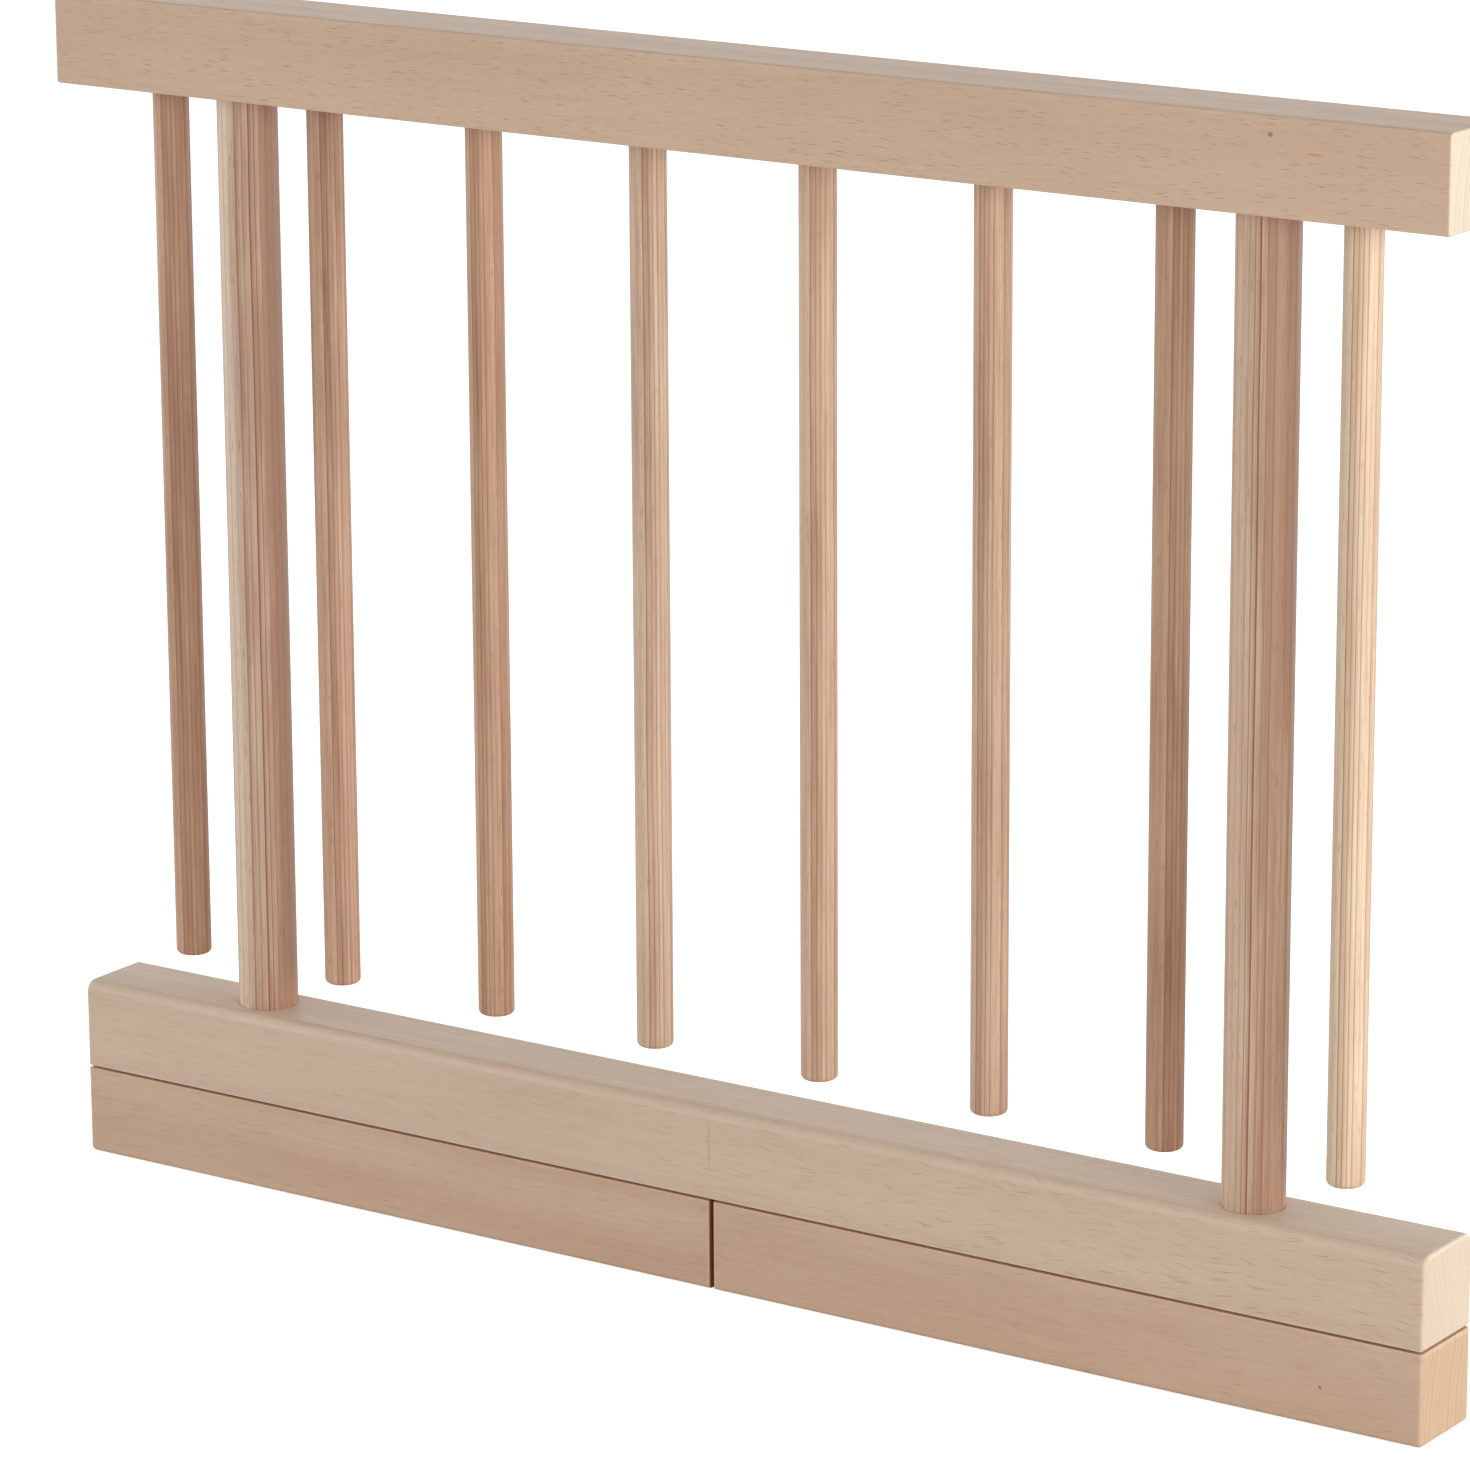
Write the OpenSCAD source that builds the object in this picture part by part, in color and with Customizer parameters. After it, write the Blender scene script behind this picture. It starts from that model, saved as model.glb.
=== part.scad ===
// Freestanding safety baby gate in plain beech. A top rail carries a row of
// hanging spindles, two posts join it to the base bar, and two swivel feet
// lie in line under the base bar until they are turned crosswise.
// +X runs along the gate, +Y to its back and +Z up. The origin is on the
// floor, under the middle of the gate.

/* [Overall] */
// Length of the gate, end to end
gate_l = 650; // [560:1:780]
// Height of the gate, from the floor to the top of the rail
gate_h = 503; // [419:1:604]

/* [Bars] */
// Depth of the rail, the base bar and the feet, front to back
bar_d = 38; // [32:0.5:46]
// Height of the top rail
rail_h = 38; // [32:0.5:46]
// Height of the base bar
base_h = 38; // [32:0.5:46]
// Height of each foot
foot_h = 38; // [32:0.5:46]
// Rounding of the bars' long edges
edge_r = 1.5; // [0.5:0.1:3]
// Rounding of the two top edges of the base bar
base_top_r = 5; // [1:0.1:6]

/* [Posts] */
// Diameter of the two posts
post_d = 25; // [20:0.5:30]
// Depth of a post's socket in the rail
post_in_rail = 22; // [15:0.5:26]
// Depth of a post's socket in the base bar
post_in_base = 20; // [14:0.5:24]

/* [Spindles] */
// Number of spindles
spindle_n = 8; // [5:1:8]
// Diameter of a spindle
spindle_d = 15; // [12:0.5:18]
// Distance from the end of the gate to the axis of the first spindle
spindle_inset = 45; // [37:1:54]
// Depth of a spindle's socket in the rail
spindle_in_rail = 18; // [12:0.5:26]
// Gap between a spindle's lower end and the base bar
spindle_gap = 15.5; // [5:0.5:40]
// Chamfer round a spindle's lower end
spindle_chamfer = 1.2; // [0.5:0.1:2]

/* [Swivel feet] */
// Nominal diameter of the pivot bolt
bolt_d = 8; // [6:0.5:10]
// Diameter of the bolt's head
bolt_head_d = 13; // [10:0.5:16]
// Height of the bolt's head
bolt_head_h = 8; // [6:0.5:10]
// Size of the hexagon socket in the bolt's head, across its flats
bolt_key = 6; // [4:0.5:8]
// Length of thread held by the post's insert
bolt_engage = 15; // [10:0.5:18]
// Gap between the bolt's head and the floor
bolt_recess = 2.4; // [1:0.1:5]
// Diameter of the flat washer
washer_d = 20; // [17:0.5:26]
// Thickness of the flat washer
washer_t = 1.6; // [1:0.1:2.5]
// Diameter of the spring washer
spring_d = 14.8; // [13:0.1:18]
// Thickness of the spring washer
spring_t = 2; // [1.5:0.1:3]
// Diameter of the threaded insert in the post's lower end
insert_d = 12; // [11:0.5:14]
// Length of the threaded insert
insert_l = 18; // [18:0.5:24]
// Thickness of the slip disc, which is also the seam over each foot
slip_t = 0.6; // [0.5:0.1:2]
// How far the slip disc stays behind the faces of the bars
slip_inset = 2; // [1:0.1:4]
// Diameter of the stop pin
pin_d = 5; // [4:0.5:6]
// Depth to which the stop pin reaches into the foot
pin_in_foot = 6; // [4:0.5:8]
// Angle through which a foot turns
swing = 90; // [60:1:90]

/* [Clearances] */
// Glue gap round a dowel in its socket
glue_gap = 0.1; // [0.05:0.01:0.2]
// Running gap round the bolt in the foot
pivot_gap = 0.08; // [0.03:0.01:0.1]
// Gap round the bolt in the pieces that don't turn on it
bolt_gap = 0.25; // [0.1:0.05:0.5]
// Gap round the bolt's thread in the insert
thread_gap = 0.02; // [0.01:0.01:0.05]
// Gap round the stop pin in its groove
groove_gap = 0.3; // [0.2:0.05:0.5]
// Gap between the flat washer and the wall of its counterbore
washer_gap = 1; // [0.5:0.1:2]
// Least gap between the two feet as they pass the middle of the gate
foot_pass_gap = 0.5; // [0.3:0.1:3]
// Wood left between the stop pin's hole and the post's socket
pin_web = 4; // [2:0.5:6]

/* [Hidden] */
$fn = 72;
SIDES = ["left", "right"];

// Heights, from the floor up
base_low = foot_h + slip_t;
base_top = base_low + base_h;
rail_low = gate_h - rail_h;
post_low = base_top - post_in_base;
post_top = rail_low + post_in_rail;
spindle_low = base_top + spindle_gap;
spindle_top = rail_low + spindle_in_rail;
head_top = bolt_recess + bolt_head_h;
spring_top = head_top + spring_t;
washer_top = spring_top + washer_t;

// Places along the gate: a post stands midway between its end's two spindles
spindle_span = gate_l - 2 * spindle_inset;
spindle_pitch = spindle_span / (spindle_n - 1);
post_x = (spindle_span - spindle_pitch) / 2;

// A foot ends where its inner corner still passes the middle as it turns
foot_reach = sqrt(pow(post_x - foot_pass_gap / 2, 2) - pow(bar_d / 2, 2));
foot_l = gate_l / 2 - post_x + foot_reach;

// Bores, the hexagon socket and the stop pin's hole
pivot_bore_d = bolt_d + 2 * pivot_gap;
clear_bore_d = bolt_d + 2 * bolt_gap;
counterbore_d = washer_d + 2 * washer_gap;
key_corner_d = bolt_key / cos(30);
key_depth = bolt_head_h / 2;
slip_d = bar_d - 2 * slip_inset;
pin_orbit = (clear_bore_d + slip_d) / 4; // midway from the bore to the disc's rim
pin_in_base = base_h - post_in_base - pin_web;
groove_w = pin_d + 2 * groove_gap;
groove_depth = pin_in_foot + groove_gap;
pin_angle = swing / 2;
through = 1; // how far a cut runs past the face that it opens

beech_pale = [0.84, 0.74, 0.62];
beech = [0.78, 0.67, 0.55];
beech_pink = [0.74, 0.60, 0.49];
zinc = [0.72, 0.73, 0.74];
brass = [0.75, 0.62, 0.33];
fibre = [0.45, 0.28, 0.20];
spindle_tones = [beech_pale, beech_pink, beech];

function spindle_x(i) = -spindle_span / 2 + (i - 1) * spindle_pitch;

// A bar's cross-section, centred front to back, with its two lower and two
// upper corners rounded
module bar_section(h, r_low, r_top) {
    difference() {
        translate([-bar_d / 2, 0]) square([bar_d, h]);
        for (s = [-1, 1]) {
            corner_waste(s, 0, r_low, 1);
            corner_waste(s, h, r_top, -1);
        }
    }
}

// What a rounded corner takes off the section, outside the rounding's circle
module corner_waste(side, z, r, up) {
    difference() {
        translate([side * bar_d / 2, z]) square(2 * r, center = true);
        translate([side * (bar_d / 2 - r), z + up * r]) circle(r);
    }
}

// A bar lying along X from x0, with its lower face at z0
module bar(x0, z0, l, h, r_low, r_top) {
    translate([x0, 0, z0]) rotate([90, 0, 90]) linear_extrude(l) bar_section(h, r_low, r_top);
}

// Builds on the left pivot's axis, and mirrors the result for the right one
module at_pivot(side) {
    if (side == "left") translate([-post_x, 0, 0]) children();
    else mirror([1, 0, 0]) translate([-post_x, 0, 0]) children();
}

module top_rail() {
    color(beech_pale) difference() {
        bar(-gate_l / 2, rail_low, gate_l, rail_h, edge_r, edge_r);
        for (i = [1 : spindle_n])
            translate([spindle_x(i), 0, rail_low - through])
                cylinder(d = spindle_d + 2 * glue_gap, h = spindle_in_rail + through);
        for (side = SIDES)
            at_pivot(side) translate([0, 0, rail_low - through])
                cylinder(d = post_d + 2 * glue_gap, h = post_in_rail + through);
    }
}

module base_bar() {
    color(beech) difference() {
        bar(-gate_l / 2, base_low, gate_l, base_h, edge_r, base_top_r);
        for (side = SIDES) at_pivot(side) {
            translate([0, 0, post_low])
                cylinder(d = post_d + 2 * glue_gap, h = post_in_base + through);
            translate([0, 0, base_low - through])
                cylinder(d = clear_bore_d, h = base_h);
            stop_pin_place(base_low - through)
                cylinder(d = pin_d + 2 * glue_gap, h = pin_in_base + through);
        }
    }
}

module post(side) {
    color(beech) at_pivot(side) difference() {
        translate([0, 0, post_low]) cylinder(d = post_d, h = post_top - post_low);
        translate([0, 0, post_low - through])
            cylinder(d = insert_d + 2 * glue_gap, h = insert_l + through);
    }
}

module spindle(i) {
    tip_d = spindle_d - 2 * spindle_chamfer;
    color(spindle_tones[i % len(spindle_tones)])
        translate([spindle_x(i), 0, spindle_low]) {
            cylinder(d1 = tip_d, d2 = spindle_d, h = spindle_chamfer);
            translate([0, 0, spindle_chamfer])
                cylinder(d = spindle_d, h = spindle_top - spindle_low - spindle_chamfer);
        }
}

module foot(side) {
    color(beech_pink) at_pivot(side) difference() {
        bar(post_x - gate_l / 2, 0, foot_l, foot_h, edge_r, edge_r);
        translate([0, 0, -through]) cylinder(d = counterbore_d, h = washer_top + through);
        cylinder(d = pivot_bore_d, h = foot_h + through);
        stop_groove();
    }
}

// The quarter-circle groove in a foot's top, which the stop pin runs along
module stop_groove() {
    translate([0, 0, foot_h - groove_depth]) {
        rotate([0, 0, pin_angle - swing]) rotate_extrude(angle = swing)
            translate([pin_orbit - groove_w / 2, 0]) square([groove_w, groove_depth + through]);
        for (a = [pin_angle - swing, pin_angle])
            rotate([0, 0, a]) translate([pin_orbit, 0, 0])
                cylinder(d = groove_w, h = groove_depth + through);
    }
}

// Puts what follows on the stop pin's axis, at height z
module stop_pin_place(z) {
    rotate([0, 0, pin_angle]) translate([pin_orbit, 0, z]) children();
}

module stop_pin(side) {
    color(zinc) at_pivot(side)
        stop_pin_place(foot_h - pin_in_foot)
            cylinder(d = pin_d, h = pin_in_foot + slip_t + pin_in_base);
}

module pivot_bolt(side) {
    color(zinc) at_pivot(side) difference() {
        union() {
            translate([0, 0, bolt_recess]) cylinder(d = bolt_head_d, h = bolt_head_h);
            translate([0, 0, head_top]) cylinder(d = bolt_d, h = post_low + bolt_engage - head_top);
        }
        translate([0, 0, bolt_recess - through])
            cylinder(d = key_corner_d, h = key_depth + through, $fn = 6);
    }
}

// A ring that lies on the bolt, with its lower face at z
module bolt_ring(z, d, bore, t) {
    translate([0, 0, z]) difference() {
        cylinder(d = d, h = t);
        translate([0, 0, -through]) cylinder(d = bore, h = t + 2 * through);
    }
}

module spring_washer(side) {
    color(zinc) at_pivot(side) bolt_ring(head_top, spring_d, clear_bore_d, spring_t);
}

module bolt_washer(side) {
    color(zinc) at_pivot(side) bolt_ring(spring_top, washer_d, clear_bore_d, washer_t);
}

module slip_disc(side) {
    color(fibre) at_pivot(side) difference() {
        bolt_ring(foot_h, slip_d, clear_bore_d, slip_t);
        stop_pin_place(foot_h - through)
            cylinder(d = pin_d + 2 * glue_gap, h = slip_t + 2 * through);
    }
}

module post_insert(side) {
    color(brass) at_pivot(side)
        bolt_ring(post_low, insert_d, bolt_d + 2 * thread_gap, insert_l);
}

top_rail();
base_bar();
for (i = [1 : spindle_n])
    spindle(i);
for (side = SIDES) {
    post(side);
    foot(side);
    pivot_bolt(side);
    spring_washer(side);
    bolt_washer(side);
    slip_disc(side);
    stop_pin(side);
    post_insert(side);
}
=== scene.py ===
import math

import bmesh
import bpy
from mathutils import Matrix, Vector


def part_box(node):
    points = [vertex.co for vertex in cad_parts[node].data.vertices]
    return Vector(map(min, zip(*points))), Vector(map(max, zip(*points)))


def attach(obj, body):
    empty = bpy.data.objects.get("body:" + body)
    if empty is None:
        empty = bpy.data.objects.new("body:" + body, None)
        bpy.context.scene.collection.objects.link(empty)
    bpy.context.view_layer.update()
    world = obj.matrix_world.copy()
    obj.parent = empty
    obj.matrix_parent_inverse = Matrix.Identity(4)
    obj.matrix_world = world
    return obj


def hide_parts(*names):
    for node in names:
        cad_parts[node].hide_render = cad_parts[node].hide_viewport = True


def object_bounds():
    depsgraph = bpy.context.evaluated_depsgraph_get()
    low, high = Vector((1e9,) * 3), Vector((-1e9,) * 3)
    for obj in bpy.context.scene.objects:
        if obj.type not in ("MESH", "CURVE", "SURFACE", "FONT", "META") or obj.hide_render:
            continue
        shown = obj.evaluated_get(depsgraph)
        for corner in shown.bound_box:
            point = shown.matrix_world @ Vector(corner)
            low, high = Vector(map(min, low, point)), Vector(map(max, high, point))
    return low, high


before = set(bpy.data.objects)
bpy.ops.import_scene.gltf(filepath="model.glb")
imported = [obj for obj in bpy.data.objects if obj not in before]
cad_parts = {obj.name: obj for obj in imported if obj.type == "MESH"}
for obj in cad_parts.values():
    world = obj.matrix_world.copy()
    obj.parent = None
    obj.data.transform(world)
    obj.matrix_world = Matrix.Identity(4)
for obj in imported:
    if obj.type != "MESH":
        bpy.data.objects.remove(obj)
cad_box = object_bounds()

# ---------------------------------------------------------------------------
# Camera
# It looks down on the gate from its right-hand front, through a long lens, so
# that the gate fills the picture from side to side.
# ---------------------------------------------------------------------------
VIEW_AZIMUTH = math.radians(34.2)
VIEW_ELEVATION = math.radians(14.9)
VIEW_ROLL = math.radians(-0.3)
VIEW_DISTANCE = 2.6
VIEW_DROP = 0.023  # how far below the gate's middle the camera aims
LENS = 159.7

middle = (cad_box[0] + cad_box[1]) / 2
sight = Vector((
    math.sin(VIEW_AZIMUTH) * math.cos(VIEW_ELEVATION),
    -math.cos(VIEW_AZIMUTH) * math.cos(VIEW_ELEVATION),
    math.sin(VIEW_ELEVATION),
))
camera = bpy.data.objects.new("camera", bpy.data.cameras.new("camera"))
camera.data.lens = LENS
camera.location = middle - Vector((0, 0, VIEW_DROP)) + sight * VIEW_DISTANCE
camera.rotation_euler = (-sight).to_track_quat("-Z", "Y").to_euler()
camera.rotation_euler.rotate_axis("Z", VIEW_ROLL)
bpy.context.scene.collection.objects.link(camera)
bpy.context.scene.camera = camera
bpy.context.scene.view_settings.view_transform = "Standard"

# ---------------------------------------------------------------------------
# Base bar
# A square bar of planed beech across the foot of the gate. Its long top edges
# are rounded over more than the rest, and two blind sockets take the posts.
# The bolts and stop pins of the feet come up through its underside.
# ---------------------------------------------------------------------------
MM = 0.001
SEAM_R = 0.5 * MM  # edges along the seam between the base bar and the feet
BASE_TOP_R = 5 * MM
BASE_END_R = 2 * MM
LEAST_R = 0.15 * MM  # what is left of a rounding where two of them meet
LEAST_EDGE = 0.001 * MM  # a cut leaves no shorter edge
SHARP_ANGLE = math.radians(40)
ARC_STEPS = 5
TURN_STEPS = 64
GLUE_GAP = 0.1 * MM
MOUTH = 0.2 * MM  # chamfer round the mouth of a drilled hole
POST_IN_BASE = 20 * MM
BOLT_BORE_R = 4.25 * MM
PIN_IN_BASE = 14 * MM


def link(name, shape):
    """A new object made from the bmesh."""
    bmesh.ops.recalc_face_normals(shape, faces=shape.faces)
    mesh = bpy.data.meshes.new(name)
    shape.to_mesh(mesh)
    shape.free()
    piece = bpy.data.objects.new(name, mesh)
    bpy.context.scene.collection.objects.link(piece)
    return piece


def section_points(low, high, r_low, r_top, inset):
    """Points round a bar's cross-section, drawn in by inset on every side."""
    points = []
    for side, up, radius, start in (
        (1, -1, r_low, 270), (1, 1, r_top, 0), (-1, 1, r_top, 90), (-1, -1, r_low, 180)
    ):
        radius = max(radius - inset, LEAST_R)
        y = side * (high.y - inset - radius)
        z = (high.z - inset - radius) if up > 0 else (low.z + inset + radius)
        for step in range(ARC_STEPS + 1):
            angle = math.radians(start + 90 * step / ARC_STEPS)
            points.append((y + radius * math.cos(angle), z + radius * math.sin(angle)))
    return points


def join_rings(shape, rings, closed=False):
    """Joins each ring of points to the next one. A ring of one point closes the shape to a tip."""
    for ring, following in zip(rings, rings[1:] + rings[:1] if closed else rings[1:]):
        count = max(len(ring), len(following))
        for i in range(count):
            j = (i + 1) % count
            corners = [ring[i % len(ring)], ring[j % len(ring)]]
            corners += [following[j % len(following)], following[i % len(following)]]
            distinct = list(dict.fromkeys(corners))
            if len(distinct) > 2:
                shape.faces.new(distinct)


def bar(name, node, r_low, r_top, r_left, r_right):
    """A bar in the CAD node's place, with its long edges and the edges of its two ends rounded."""
    low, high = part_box(node)
    shape = bmesh.new()
    rings = []
    arc = [math.radians(90 * step / ARC_STEPS) for step in range(ARC_STEPS + 1)]
    for end, inward, r_end, turns in ((low.x, 1, r_left, arc), (high.x, -1, r_right, arc[::-1])):
        for angle in turns:
            x = end + inward * r_end * (1 - math.cos(angle))
            inset = r_end * (1 - math.sin(angle))
            outline = section_points(low, high, r_low, r_top, inset)
            rings.append([shape.verts.new((x, y, z)) for y, z in outline])
    join_rings(shape, rings)
    shape.faces.new(rings[0])
    shape.faces.new(rings[-1])
    return link(name, shape)


def turned(name, outline, x=0, y=0, steps=TURN_STEPS, carve=None):
    """A piece turned about an upright axis at (x, y), from its outline of (radius, height).
    carve(step, radius, height) is how deep a thread or a groove is there."""
    shape = bmesh.new()
    rings = []
    for radius, z in outline:
        ring = []
        for step in range(steps if radius > 0 else 1):
            reach = radius - (carve(step, radius, z) if carve else 0)
            angle = 2 * math.pi * step / steps
            point = (x + reach * math.cos(angle), y + reach * math.sin(angle), z)
            ring.append(shape.verts.new(point))
        rings.append(ring)
    join_rings(shape, rings, closed=outline[0][0] > 0)
    return link(name, shape)


def drill(radius, mouth_z, floor_z, x, y=0):
    """A cutter for a hole from mouth_z to floor_z, with a chamfer round its mouth."""
    out = 1 if mouth_z > floor_z else -1
    return turned("drill", [
        (0, floor_z),
        (radius, floor_z),
        (radius, mouth_z - out * MOUTH),
        (radius + MOUTH, mouth_z),
        (radius + MOUTH, mouth_z + out * MM),
        (0, mouth_z + out * MM),
    ], x, y)


def cut(piece, cutters):
    """Takes the cutters out of the piece, removes them, and tidies the faces that they leave."""
    for cutter in cutters:
        hole = piece.modifiers.new("hole", "BOOLEAN")
        hole.object = cutter
        hole.solver = "EXACT"
    graph = bpy.context.evaluated_depsgraph_get()
    mesh = bpy.data.meshes.new_from_object(piece.evaluated_get(graph))
    piece.modifiers.clear()
    piece.data = mesh
    for cutter in cutters:
        bpy.data.objects.remove(cutter)
    shape = bmesh.new()
    shape.from_mesh(mesh)
    many_sided = [face for face in shape.faces if len(face.verts) > 4]
    bmesh.ops.triangulate(shape, faces=many_sided, quad_method="BEAUTY", ngon_method="BEAUTY")
    bmesh.ops.dissolve_degenerate(shape, dist=LEAST_EDGE, edges=shape.edges)
    shape.to_mesh(mesh)
    shape.free()


def finish_piece(piece, material, body, slot, *nodes):
    """Smooth shading with sharp corners kept, the material, and the piece's place in the frame."""
    piece.data.materials.clear()
    piece.data.materials.append(material)
    for face in piece.data.polygons:
        face.use_smooth = True
    piece.data.set_sharp_from_angle(angle=SHARP_ANGLE)
    piece.modifiers.new("even_normals", "WEIGHTED_NORMAL").keep_sharp = True
    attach(piece, body)
    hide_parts(*nodes)


def put(tree, socket, value):
    """Feeds a socket from another socket, or sets its value."""
    if isinstance(value, bpy.types.NodeSocket):
        tree.links.new(value, socket)
    else:
        socket.default_value = value


def calc(tree, operation, *terms):
    """One Math node's result."""
    node = tree.nodes.new("ShaderNodeMath")
    node.operation = operation
    for socket, term in zip(node.inputs, terms):
        put(tree, socket, term)
    return node.outputs["Value"]


def vector(tree, operation, *terms):
    """One Vector Math node's result. SCALE takes a vector and a number."""
    node = tree.nodes.new("ShaderNodeVectorMath")
    node.operation = operation
    sockets = (node.inputs[0], node.inputs["Scale"]) if operation == "SCALE" else node.inputs
    for socket, term in zip(sockets, terms):
        put(tree, socket, term)
    return node.outputs["Value" if operation in ("LENGTH", "DOT_PRODUCT") else "Vector"]


def axes(tree, value):
    """A vector's three parts."""
    node = tree.nodes.new("ShaderNodeSeparateXYZ")
    put(tree, node.inputs[0], value)
    return node.outputs


def ease(tree, value, start, end, low=0.0, high=1.0):
    """Eases from low to high as the value goes from start to end."""
    node = tree.nodes.new("ShaderNodeMapRange")
    node.interpolation_type = "SMOOTHSTEP"
    labels = ("Value", "From Min", "From Max", "To Min", "To Max")
    for label, term in zip(labels, (value, start, end, low, high)):
        put(tree, node.inputs[label], term)
    return node.outputs["Result"]


def noise(tree, place, stretch, detail=2.0):
    """Soft noise. Stretch is how much of it goes by in a millimetre along each axis."""
    node = tree.nodes.new("ShaderNodeTexNoise")
    node.inputs["Scale"].default_value = 1.0
    node.inputs["Detail"].default_value = detail
    put(tree, node.inputs["Vector"], vector(tree, "MULTIPLY", place, stretch))
    return node


def noise_by(tree, value, pace, detail=1.0):
    """Soft noise along one number."""
    node = tree.nodes.new("ShaderNodeTexNoise")
    node.noise_dimensions = "1D"
    node.inputs["Scale"].default_value = pace
    node.inputs["Detail"].default_value = detail
    put(tree, node.inputs["W"], value)
    return node.outputs["Fac"]


def mixed(tree, share, first, second):
    """Two colours mixed by a share."""
    node = tree.nodes.new("ShaderNodeMix")
    node.data_type = "RGBA"
    for number, term in ((0, share), (6, first), (7, second)):
        put(tree, node.inputs[number], term)
    return node.outputs[2]


def new_group(name, inputs, outputs):
    """A node group with named sockets. Returns its tree and its two end nodes."""
    tree = bpy.data.node_groups.new(name, "ShaderNodeTree")
    for label, kind, value in inputs:
        socket = tree.interface.new_socket(label, in_out="INPUT", socket_type=kind)
        socket.default_value = value
    for label, kind in outputs:
        tree.interface.new_socket(label, in_out="OUTPUT", socket_type=kind)
    return tree, tree.nodes.new("NodeGroupInput").outputs, tree.nodes.new("NodeGroupOutput").inputs


FLOAT, COLOUR, VECTOR = "NodeSocketFloat", "NodeSocketColor", "NodeSocketVector"


def ray_dashes(tree, length, across, radius, size, share):
    """Rays cut across: thin tapered dashes along the grain. size is their spacing each way."""
    spot = tree.nodes.new("ShaderNodeCombineXYZ")
    for socket, value, spacing in zip(spot.inputs, (length, across, radius), size):
        put(tree, socket, calc(tree, "DIVIDE", value, spacing))
    cell = tree.nodes.new("ShaderNodeTexVoronoi")
    cell.inputs["Scale"].default_value = 1.0
    put(tree, cell.inputs["Vector"], spot.outputs[0])
    chance = tree.nodes.new("ShaderNodeSeparateColor")
    put(tree, chance.inputs[0], cell.outputs["Color"])
    rest = calc(tree, "SUBTRACT", 1.0, share)
    shown = ease(tree, chance.outputs["Red"], rest, calc(tree, "ADD", rest, 0.5))
    width = calc(tree, "MULTIPLY_ADD", chance.outputs["Green"], 0.2, 0.25)
    return calc(tree, "MULTIPLY", ease(tree, cell.outputs["Distance"], width, 0.04), shown)


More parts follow.
